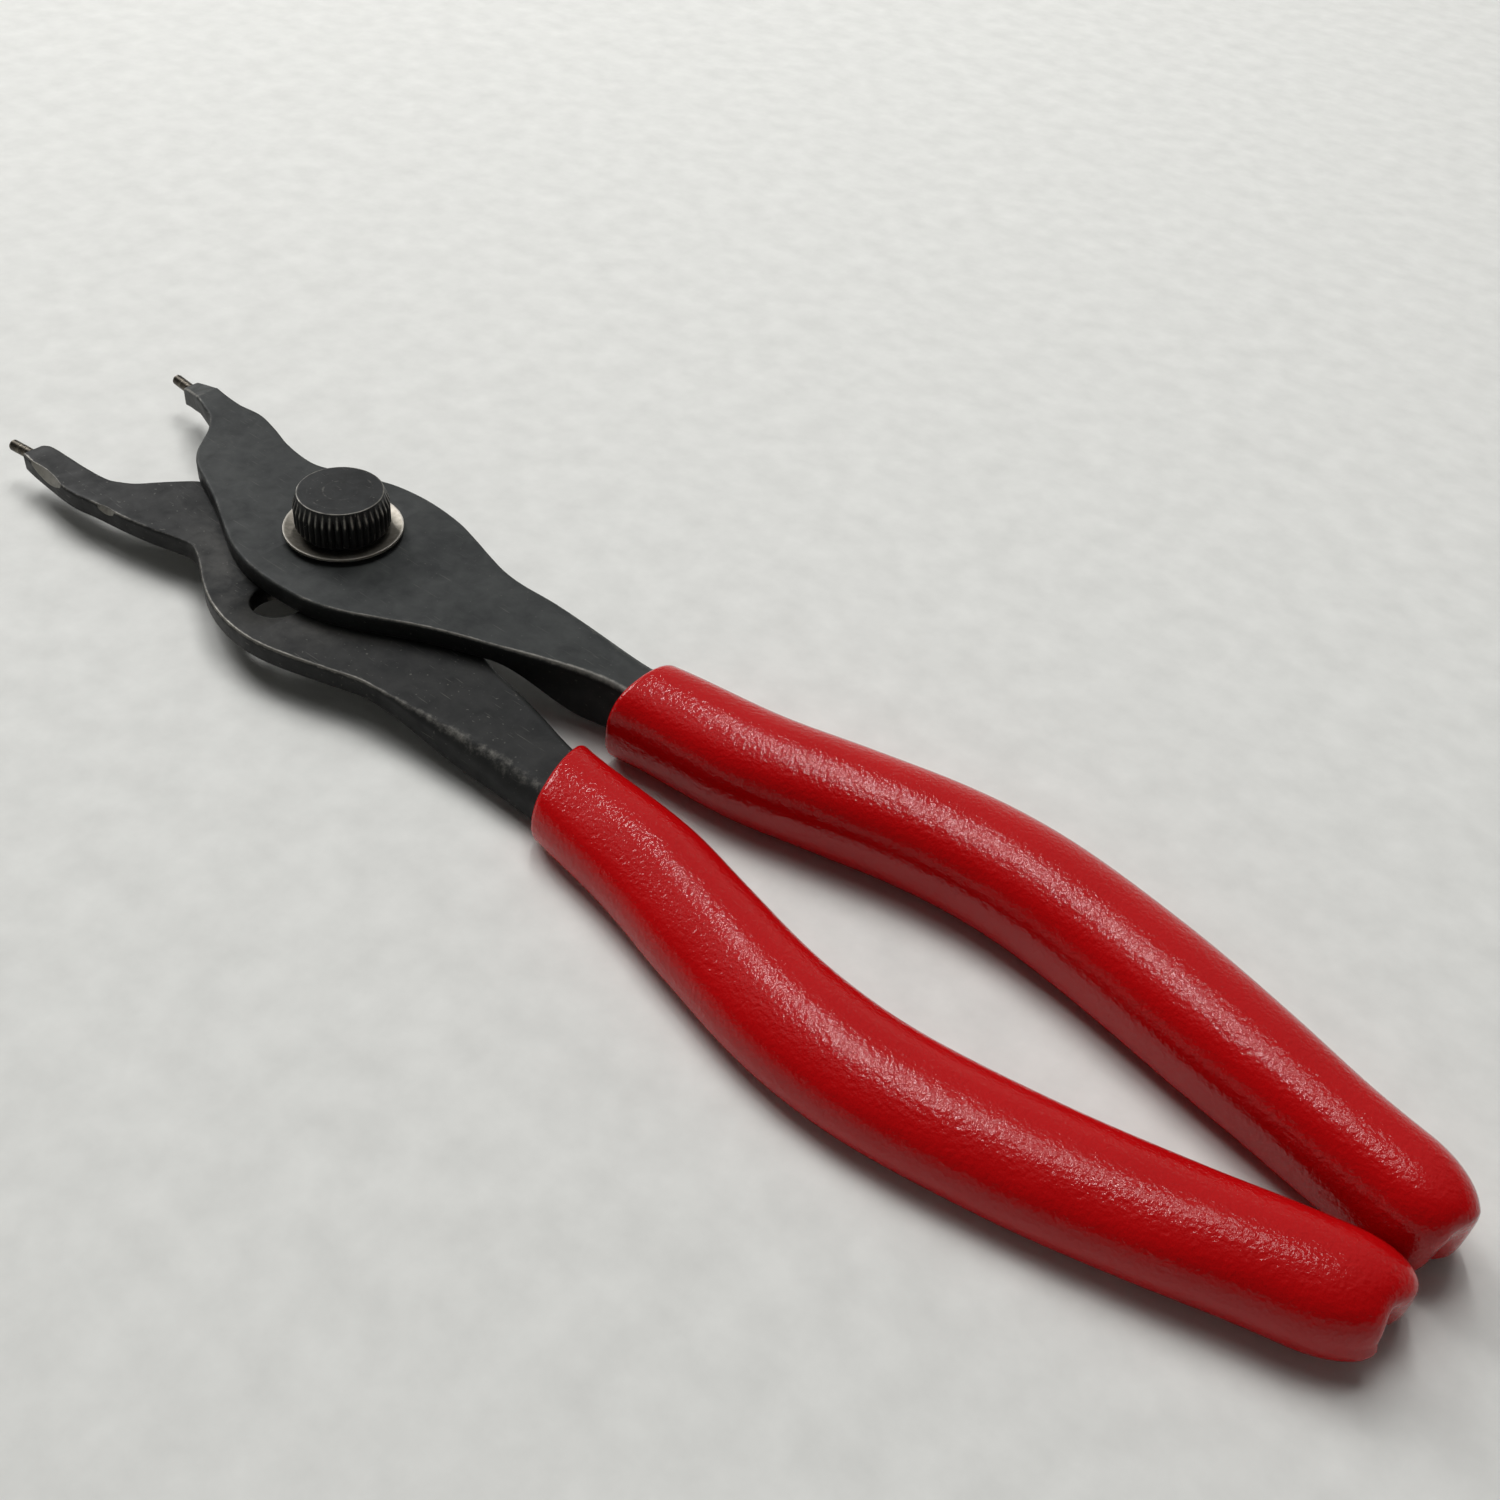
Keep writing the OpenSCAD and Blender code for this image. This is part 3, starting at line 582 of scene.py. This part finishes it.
# %% Loft the grips
def grip(name, path, x0, x1, top, slant, tail_w, lift, dent_y, near):
    """A whole grip; near is how far the lobe on the low side of the dent comes back out."""
    rows = []
    for x, side, low, high, dent, size in grip_stations(x0, x1):
        nose = (GRIP_W - NOSE_W) * (1 - ease(*SWELL, x))
        tail = (GRIP_W - tail_w) * ease(*TAPER, x)
        slope = math.tan(math.radians(slant)) * (1 - ease(x0, x0 + SLANT_LONG, x))
        roof = top + lift * ease(*TAPER, x)
        waist = CLOSE_AT * roof
        row = []
        for p, q in grip_section((GRIP_W - nose - tail) / 2, roof, side, low, high, DENT_SHUT * dent):
            p, q = p * size, waist + (q - waist) * size
            valley = math.exp(-((p - dent_y) / DENT_WIDE) ** 2)
            valley = max(valley, 1 - near) if p < dent_y else valley
            pull = dent * DENT_DEEP * valley * max(0, 1 - (q / roof) ** 2)
            row.append((x - slope * p - pull, curve_at(path, x) + p, q))
        rows.append(row)
    return skin(name, rows, sharp=65)


upper_grip = grip("upper_grip_vinyl", PATH_U, x0=53.2, x1=170.2, top=UPPER_Z + PLATE + COVER,
                  slant=0, tail_w=13.4, lift=0, dent_y=-2.3, near=0.15)
lower_grip = grip("lower_grip_vinyl", PATH_L, x0=55.0, x1=168.8, top=LOWER_Z + PLATE + COVER,
                  slant=16, tail_w=15.2, lift=1, dent_y=-1.8, near=1)
dress(upper_grip, "upper", "upper_grip", vinyl)
dress(lower_grip, "lower", "lower_grip", vinyl)

# %% [markdown]
# ## Turned parts
# The stud, the washer, the tip pins and the core of the nut are all turned on a lathe, so each is
# a profile spun round an axis. Real turned corners are broken, so a helper rounds every corner
# of a profile and marks the rounding for wear.


# %% Round a profile and spin it
ON_AXIS = 1e-6
EDGE_ROW = 0.25  # strip beside a rounding in which the wear ends, in millimetres
CUT_SHARE, ROW_SHARE = 0.4, 0.47  # most of a side that a rounding and its strip may take
SHOULDER_WEAR = 0.8


def broken(profile, size):
    """Profile with its corners rounded; a corner is (radius, height) and may add how much it is worn."""
    made, n = [], len(profile)
    for i, (r, z, *worn) in enumerate(profile):
        here = Vector((r, z))
        ends = [Vector(profile[k % n][:2]) - here for k in (i - 1, i + 1)]
        mark = worn[0] if worn else 1
        if r < ON_AXIS:
            made.append((r, z, 0))
            continue
        cut = min([size] + [CUT_SHARE * e.length for e in ends])
        a, b = (here + e.normalized() * cut for e in ends)
        far_a, far_b = (here + e.normalized() * min(cut + EDGE_ROW, ROW_SHARE * e.length) for e in ends)
        mid = (a + b) / 4 + here / 2
        made += [(far_a.x, far_a.y, 0), (a.x, a.y, SHOULDER_WEAR * mark), (mid.x, mid.y, mark),
                 (b.x, b.y, SHOULDER_WEAR * mark), (far_b.x, far_b.y, 0)]
    return made


def spun(name, profile, size, turns=96, wear=1.0):
    """A turned piece about the Z axis, from a closed profile in millimetres."""
    shape = broken(profile, size)
    rows, marks = [], []
    for i in range(turns):
        t = 2 * math.pi * i / turns
        rows.append([(r * math.cos(t), r * math.sin(t), z) for r, z, w in shape])
        marks.append([w * wear for r, z, w in shape])
    return skin(name, rows, marks, wrap=True, sharp=35)


# %% [markdown]
# ## Stud and washer
# The stud's broad head bears on the underside of the lower arm. Its thread ends inside the nut.
# The washer is spring steel, dished so that it keeps the pivot tight while the arms still turn,
# and worn grey.

# %% Pivot stud
HEAD_R, JOURNAL_R, NECK_R, THREAD_R = 6.2, 3.8, 3.1, 2.5
HEAD_TOP, JOURNAL_TOP, NECK_TOP, STUD_TOP = 3.94, 6.94, 10.0, 15.82
stud = spun("pivot_stud_turned", [
    (0, 0), (HEAD_R, 0), (HEAD_R, HEAD_TOP), (JOURNAL_R, HEAD_TOP), (JOURNAL_R, JOURNAL_TOP),
    (NECK_R, JOURNAL_TOP), (NECK_R, NECK_TOP), (THREAD_R, NECK_TOP), (THREAD_R, STUD_TOP), (0, STUD_TOP)],
    size=0.3, wear=0.6)
dress(stud, "stud", "pivot_stud", nut_finish)


# %% Worn spring steel and the dished washer
def spring_steel():
    """Grey metal in small patches, brighter where its edges rub."""
    made, tree, shader, place = new_material("spring steel, worn grey")
    spot = noise(tree, place, 1.8, 5, 0.65)
    tone = mixed(tree, graded(tree, spot, 0.35, 0.65, kind="SMOOTHSTEP"), "#7b766c", "#9a948a")
    feed(tree, shader, {
        "Base Color": mixed(tree, edge_wear(tree), tone, "#c4bfb6"),
        "Roughness": graded(tree, spot, 0.3, 0.7, 0.5, 0.36), "Metallic": 0.85})
    return made


washer_finish = spring_steel()
TOP = UPPER_Z + PLATE
WASHER_IN, WASHER_SEAT, WASHER_OUT = 2.8, 5.95, 8.55
WASHER_THICK, WASHER_RISE = 0.5, 0.7
washer = spun("dished_washer_sprung", [
    (WASHER_IN, TOP), (WASHER_SEAT, TOP), (WASHER_OUT, TOP + WASHER_RISE),
    (WASHER_OUT, TOP + WASHER_RISE + WASHER_THICK), (WASHER_SEAT, TOP + WASHER_THICK, 0),
    (WASHER_IN, TOP + WASHER_THICK)], size=0.14, wear=0.8)
dress(washer, "upper", "dished_washer", washer_finish)

# %% [markdown]
# ## The fluted thumb nut
# The nut is turned with a small foot, a straight belt and a sloping brow, and flutes for the fingers run
# up the belt and fade out on the brow. Cutting forty grooves one by one would repeat the same work, and
# a displaced skin would blur them. So the core is turned at the root of the flutes, one rib is modelled,
# and Geometry Nodes sets that rib round the core at even steps.

# %% Core of the nut
KNOB_R, KNOB_H, KNOB_Z = 6.8, 6.5, TOP + 0.54
FOOT_R, FOOT_TOP, BELT_TOP = 5.7, 1.4, 4.6
RIM_R, RIM_Z, FACE_R = 6.174, 6.3, 6.1
BORE_R, BORE_TOP = 2.55, 5.3
FACE_RING, FACE_DOT = 4.6, 2.4  # faint turned marks on the face
FLUTES, FLUTE_D = 40, 0.36
ROOT_R = KNOB_R - FLUTE_D
ROOT_Z = FOOT_TOP * (ROOT_R - FOOT_R) / (KNOB_R - FOOT_R)
core = spun("thumb_nut_core", [(r, KNOB_Z + z, w) for r, z, w in (
    (BORE_R, 0, 0), (FOOT_R, 0, 0.3), (ROOT_R, ROOT_Z, 0), (ROOT_R, BELT_TOP, 0), (RIM_R, RIM_Z, 0.5),
    (FACE_R, KNOB_H, 1), (FACE_RING, KNOB_H, 0.5), (FACE_DOT, KNOB_H, 0.6), (0, KNOB_H, 0),
    (0, BORE_TOP, 0), (BORE_R, BORE_TOP, 0))], size=0.12, wear=0.9)

# %% One rib
# height, root and crest radius, and wear of each row up the rib
RIB_ROWS = (
    (ROOT_Z, ROOT_R, ROOT_R + 0.01, 0), (FOOT_TOP, ROOT_R, KNOB_R, 0.1), (2.4, ROOT_R, KNOB_R, 0),
    (3.6, ROOT_R, KNOB_R, 0.2), (BELT_TOP - 0.1, ROOT_R, KNOB_R, 0.8),
    (BELT_TOP + 0.1, ROOT_R - 0.02, 6.76, 0.9), (5.2, 6.346, 6.579, 0.8), (5.8, 6.252, 6.358, 0.7),
    (RIM_Z, RIM_R, RIM_R + 0.01, 0.5))
RIB_SUNK = 0.2
pitch = 2 * math.pi * KNOB_R / FLUTES
rib_rows, rib_marks = [], []
for z, root, crest, worn in RIB_ROWS:
    tall, level = crest - root, KNOB_Z + z
    half = [(root - RIB_SUNK, 0.5), (root + 0.005, 0.47), (root + 0.88 * tall, 0.16), (root + tall, 0.08)]
    rib_rows.append([(r, -w * pitch, level) for r, w in half]
                    + [(r, w * pitch, level) for r, w in half[::-1]])
    rib_marks.append([0, 0, 0.6 * worn, worn, worn, 0.6 * worn, 0, 0])
rib = skin("thumb_nut_rib", rib_rows, rib_marks, sharp=50)
print("one rib has", len(rib.data.polygons), "faces; pitch", round(pitch, 3), "mm")


# %% Set the ribs round the core with Geometry Nodes
def ring_tree():
    """Geometry Nodes: the given rib, repeated about the Z axis and joined to the incoming core."""
    tree = bpy.data.node_groups.new("ribs round a core", "GeometryNodeTree")
    for name, way, kind in (("Core", "INPUT", "Geometry"), ("Rib", "INPUT", "Object"),
                            ("Rib count", "INPUT", "Int"), ("Finish", "INPUT", "Material"),
                            ("Nut", "OUTPUT", "Geometry")):
        tree.interface.new_socket(name, in_out=way, socket_type="NodeSocket" + kind)
    given = tree.nodes.new("NodeGroupInput").outputs
    spots = add(tree, "GeometryNodeMeshLine", {"Count": given["Rib count"], "Offset": (0, 0, 0)})
    step = worked(tree, "DIVIDE", 2 * math.pi, given["Rib count"])
    index = tree.nodes.new("GeometryNodeInputIndex").outputs[0]
    angle = add(tree, "ShaderNodeCombineXYZ", {"Z": worked(tree, "MULTIPLY", index, step)})
    shape = add(tree, "GeometryNodeObjectInfo", {"Object": given["Rib"]})
    copies = add(tree, "GeometryNodeInstanceOnPoints", {
        "Points": spots.outputs[0], "Instance": shape.outputs["Geometry"], "Rotation": angle.outputs[0]})
    both = tree.nodes.new("GeometryNodeJoinGeometry")
    for part in (given["Core"], copies.outputs[0]):
        tree.links.new(part, both.inputs[0])
    solid = add(tree, "GeometryNodeRealizeInstances", {0: both.outputs[0]})
    painted = add(tree, "GeometryNodeSetMaterial", {
        "Geometry": solid.outputs[0], "Material": given["Finish"]})
    add(tree, "NodeGroupOutput", {0: painted.outputs[0]})
    return tree


ribs = ring_tree()
inputs = {s.name: s.identifier for s in ribs.interface.items_tree if s.in_out == "INPUT"}
repeat = core.modifiers.new("ribs", "NODES")
repeat.node_group = ribs
repeat[inputs["Rib"]] = rib
repeat[inputs["Rib count"]] = FLUTES
repeat[inputs["Finish"]] = nut_finish
whole = bpy.data.meshes.new_from_object(core.evaluated_get(bpy.context.evaluated_depsgraph_get()))
nut = bpy.data.objects.new("thumb_nut_fluted", whole)
bpy.context.scene.collection.objects.link(nut)
for spare in (core, rib):
    bpy.data.objects.remove(spare)
dress(nut, "nut", "thumb_nut", nut_finish)

# %% [markdown]
# ## Tip pins
# The tips are short hardened pins pressed into the jaws. Bare tool steel goes brownish grey, with fine
# turning marks round it. Each is a turned profile, laid along its own axis and splayed outwards a little.


# %% Bare tool steel
def tool_steel():
    """Brownish metal, brighter where its edges rub."""
    made, tree, shader, place = new_material("hardened tool steel, bare")
    tone = mixed(tree, noise(tree, place, 0.7, 4, 0.6), "#2b2722", "#4f493f")
    feed(tree, shader, {
        "Base Color": mixed(tree, edge_wear(tree), tone, "#7c7569"), "Metallic": 0.9, "Roughness": 0.38})
    return made


tip_finish = tool_steel()
print("finish:", tip_finish.name)

# %% Hardened tip pins
PIN_R, SHANK_R, PIN_IN, PIN_OUT, PIN_Z = 0.89, 0.6, 2.8, 4.5, 5.9
PIN_BREAK, PRESS_GAP, SPLAY = 0.25, 0.02, 5
# height above the jaw and depth of the two turned grooves
GROOVES = ((PRESS_GAP, 0), (0.9, 0), (0.98, -0.04), (1.12, -0.04), (1.2, 0),
           (2.3, 0), (2.38, -0.03), (2.5, -0.03), (2.58, 0))


def tip_pin(name, x, y, splay):
    """A turned pin whose shank sits in the jaw at (x, y)."""
    long = PIN_IN + PIN_OUT
    shank = [(0, PRESS_GAP), (SHANK_R, PRESS_GAP), (SHANK_R, PIN_IN + PRESS_GAP)]
    body = [(PIN_R + d, PIN_IN + z) for z, d in GROOVES]
    point = [(PIN_R, long - PIN_BREAK), (PIN_R - PIN_BREAK, long), (0, long)]
    pin = spun(name, shank + body + point, size=0.06, turns=48, wear=0.6)
    place = (Matrix.Translation(Vector((x, y, PIN_Z)) * MM) @ Matrix.Rotation(math.radians(-splay), 4, "Z")
             @ Matrix.Rotation(math.radians(-90), 4, "Y") @ Matrix.Translation((0, 0, -PIN_IN * MM)))
    pin.data.transform(place)
    return pin


upper_tip = tip_pin("upper_tip_turned", -52.278, 12.15, SPLAY)
lower_tip = tip_pin("lower_tip_turned", -52.678, -16.8, -SPLAY)
dress(upper_tip, "upper", "upper_tip_pin", tip_finish)
dress(lower_tip, "lower", "lower_tip_pin", tip_finish)

# %% [markdown]
# ## Floor
# The tool lies on a pale matt sheet. A flat plane would be simplest, but its rim would show in a low
# view and the low sides of the grips would mirror a dark room. So the sheet is a round one that curves
# up at its far edge, like the paper in a product picture, and the grips mirror a pale wall.

# %% Floor, in metres
COVE = ((0.4, 0), (0.8, 0), (1.3, 0), (1.42, 0.02), (1.52, 0.08), (1.59, 0.18), (1.62, 0.3),
        (1.63, 0.46), (1.64, 0.62))
AROUND = 72
SHEET_CLOUD = 6  # size of the sheet's mottling in millimetres
turns = [2 * math.pi * i / AROUND for i in range(AROUND)]
floor_points = [(0, 0, 0)] + [(r * math.cos(t), r * math.sin(t), z) for r, z in COVE for t in turns]
floor_faces = [(0, 1 + i, 1 + (i + 1) % AROUND) for i in range(AROUND)]
for row in range(len(COVE) - 1):
    near, far = 1 + row * AROUND, 1 + (row + 1) * AROUND
    for i in range(AROUND):
        k = (i + 1) % AROUND
        floor_faces.append((near + i, far + i, far + k, near + k))
floor_mesh = bpy.data.meshes.new("floor")
floor_mesh.from_pydata(floor_points, [], floor_faces)
floor_mesh.polygons.foreach_set("use_smooth", [True] * len(floor_mesh.polygons))
floor = bpy.data.objects.new("floor", floor_mesh)
bpy.context.scene.collection.objects.link(floor)
paper, tree, shader, place = new_material("pale matt sheet")
feed(tree, shader, {
    "Base Color": mixed(tree, noise(tree, place, SHEET_CLOUD, 5, 0.55), "#cfcfcb", "#e9e9e5"),
    "Roughness": 0.85, "Specular IOR Level": 0.2})
floor_mesh.materials.append(paper)
print("floor of", len(floor_faces), "faces")

# %% [markdown]
# ## Light
# The picture was taken in an ordinary room. A window at the far left gives the soft shadow, and a narrow
# tube and a small skylight overhead draw the broken highlights along the two grips. A pale ceiling lifts
# the whole picture; it is hidden from glossy rays, because its mirror image would wash out the vinyl.
# One strong sun would be simpler, but its hard shadow and single glint would not read as a tool on a bench.

# %% Light of the room
GLOW_WAY = (-0.45, 0.60, 0.66)
world = bpy.data.worlds.new("soft room")
world.use_nodes = True
sky = world.node_tree
way = sky.nodes.new("ShaderNodeTexCoord").outputs["Generated"]
toward = add(sky, "ShaderNodeVectorMath", {0: way, 1: GLOW_WAY}, operation="DOT_PRODUCT")
glow = graded(sky, toward.outputs["Value"], 0.45, 0.95, 0.04, 0.3, "SMOOTHSTEP")
feed(sky, sky.nodes["Background"], {"Color": linear("#f0f1f2"), "Strength": glow})
bpy.context.scene.world = world

# %% Lamps
AIM = Vector((0.05, 0, 0))


def lamp(name, place, size, power, level=None):
    """A soft lamp, its width and length in metres, aimed at the tool or hung level at an angle."""
    data = bpy.data.lights.new(name, "AREA")
    data.shape = "RECTANGLE"
    data.size, data.size_y = size
    data.energy = power
    made = bpy.data.objects.new(name, data)
    made.location = place
    if level is None:
        made.rotation_euler = (AIM - Vector(place)).to_track_quat("-Z", "Y").to_euler()
    else:
        made.rotation_euler = (0, 0, math.radians(level))
    bpy.context.scene.collection.objects.link(made)
    return made


lamp("window", (-1.08, 0.22, 0.80), size=(0.5, 0.5), power=6.8)
lamp("tube", (-0.28, 0.42, 1.0), size=(0.76, 0.03), power=2.8, level=-53)
lamp("skylight", (0.04, 0.42, 1.0), size=(0.16, 0.16), power=0.65, level=0)
ceiling = lamp("ceiling", (-0.42, 0.36, 1.25), size=(1.0, 1.0), power=9.0)
ceiling.visible_glossy = False
print("lit by a window, a tube, a skylight, a pale ceiling and a soft room")

# %% [markdown]
# ## Camera
# The camera stands where the photograph was taken from, with a lens of about 40 mm. It could be aimed by
# eye with a track-to constraint. Here its place and its three axes are written down, worked out from
# the known shape of the tool, so that the outlines fall where they do in the photograph.

# %% Camera
CAMERA = Vector((163.013, -124.176, 151.882)) * MM
RIGHT = Vector((0.77016772, 0.63258509, 0.08171774))
DOWN = Vector((0.47211728, -0.47921831, -0.73990207))
AHEAD = Vector((-0.42889038, 0.60842905, -0.66773283))
SENSOR, FOCAL_PIXELS, FRAME_PIXELS = 36, 1663.89, 1500
view = bpy.data.cameras.new("view")
view.sensor_width = SENSOR
view.lens = FOCAL_PIXELS / FRAME_PIXELS * SENSOR
view.clip_start = 0.01
camera = bpy.data.objects.new("view", view)
camera.matrix_world = Matrix.Translation(CAMERA) @ Matrix((RIGHT, -DOWN, -AHEAD)).transposed().to_4x4()
bpy.context.scene.collection.objects.link(camera)
bpy.context.scene.camera = camera
bpy.context.scene.view_settings.view_transform = "Standard"
print("camera lens", round(view.lens, 2), "mm")
